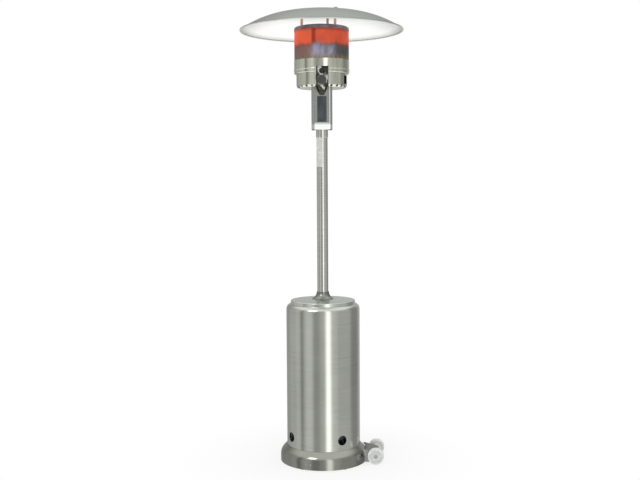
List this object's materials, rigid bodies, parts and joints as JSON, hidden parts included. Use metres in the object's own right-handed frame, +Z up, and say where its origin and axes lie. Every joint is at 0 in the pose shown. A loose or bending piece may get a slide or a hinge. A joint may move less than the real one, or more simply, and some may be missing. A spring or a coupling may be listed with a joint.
{
  "type": "mushroom patio heater",
  "caption": "Free-standing gas patio heater: domed reflector over a glowing mesh emitter on a slim pole, with a tank cover that lifts and transport wheels.",
  "frame": {"origin": "on the floor at the pole's axis", "axes": "+Z up along the pole, the control recess faces -Y, the wheels are on the +X side"},
  "size_m": [0.8129, 0.813, 2.2673],
  "materials": {
    "brushed": "brushed",
    "polished": "polished",
    "zinc": "zinc plated",
    "rubber": "matt",
    "tank_paint": "gloss paint",
    "brass": "machined",
    "dark_plastic": "moulded",
    "pale_plastic": "moulded",
    "label": "satin",
    "band": "film",
    "emitter": "heat tinted",
    "hot_cap": "heat tinted",
    "aluminium": "spun, satin",
    "chromed_knob": "polished",
    "ceramic": "glazed",
    "cast": "cast",
    "red_plastic": "moulded"
  },
  "bodies": {
    "root": {"base_pan": "brushed", "rubber_feet": "rubber", "support_leg_rear": "zinc", "support_leg_left": "zinc", "support_leg_right": "zinc", "leg_bolts": "zinc", "post_socket": "zinc", "socket_bolts": "zinc", "pole": "brushed", "pole_collar": "brushed", "pole_band": "band", "tank_body": "tank_paint", "tank_foot_ring": "tank_paint", "tank_guard": "tank_paint", "tank_valve": "brass", "regulator": "aluminium", "gas_hose": "rubber", "hose_ferrules": "brass", "wheel_bracket": "zinc", "wheel_axle": "zinc", "axle_caps": "zinc", "bracket_bolts": "zinc", "control_housing": "brushed", "back_cover": "brushed", "case_screws": "zinc", "label_plate": "label", "head_bracket": "zinc", "feed_pipe": "brass", "tilt_switch": "dark_plastic", "control_recess": "polished", "gas_valve": "brass", "igniter_body": "dark_plastic", "burner_cup": "polished", "burner_band": "polished", "burner_deck": "zinc", "venturi": "zinc", "burner_head": "cast", "pilot_burner": "brass", "thermocouple": "zinc", "igniter_electrode": "ceramic", "emitter_screen": "emitter", "burner_top_cap": "hot_cap", "reflector_studs": "zinc", "stud_spacers": "zinc", "stud_nuts": "zinc", "wing_nuts": "polished", "reflector": "aluminium"},
    "tank_cover": {"cover_shell": "brushed", "seam_strip": "brushed", "seam_screws": "zinc", "cover_lid": "brushed", "lid_collar": "polished"},
    "tank_handwheel": {"tank_handwheel": "red_plastic"},
    "regulator_nut": {"regulator_nut": "dark_plastic"},
    "valve_stem": {"valve_stem": "brass"},
    "control_knob": {"control_knob": "chromed_knob"},
    "igniter_button": {"igniter_button": "dark_plastic"},
    "tilt_pendulum": {"tilt_pendulum": "brass"},
    "wheel_near": {"wheel_near": "pale_plastic"},
    "wheel_far": {"wheel_far": "pale_plastic"}
  },
  "joints": [
    {"name": "cover_lift", "type": "slide", "parent": "root", "child": "tank_cover", "axis": [0, 0, 1], "range_m": [0, 0.56]},
    {"name": "handwheel_turn", "type": "hinge", "parent": "root", "child": "tank_handwheel", "pos_m": [0, 0, 0.49271], "axis": [0, 0, 1], "range_deg": [0, 540]},
    {"name": "nut_turn", "type": "hinge", "parent": "root", "child": "regulator_nut", "pos_m": [-0.055, 0, 0.47641], "axis": [1, 0, 0], "continuous": true},
    {"name": "stem_turn", "type": "hinge", "parent": "root", "child": "valve_stem", "pos_m": [0, -0.1012, 1.91301], "axis": [0, 1, 0], "range_deg": [0, 210]},
    {"name": "knob_press", "type": "slide", "parent": "valve_stem", "child": "control_knob", "axis": [0, 1, 0], "range_m": [0, 0.004], "stiffness_N_per_m": 400},
    {"name": "button_press", "type": "slide", "parent": "root", "child": "igniter_button", "axis": [0, 1, 0], "range_m": [0, 0.005], "stiffness_N_per_m": 600},
    {"name": "pendulum_swing", "type": "hinge", "parent": "root", "child": "tilt_pendulum", "pos_m": [0, 0.0328, 1.78601], "axis": [1, 0, 0], "range_deg": [-14, 14]},
    {"name": "near_wheel_spin", "type": "hinge", "parent": "root", "child": "wheel_near", "pos_m": [0.25976, -0.1132, 0.0425], "axis": [0.0802, 0.9968, 0], "continuous": true},
    {"name": "far_wheel_spin", "type": "hinge", "parent": "root", "child": "wheel_far", "pos_m": [0.27452, 0.07021, 0.0425], "axis": [0.0802, 0.9968, 0], "continuous": true}
  ]
}
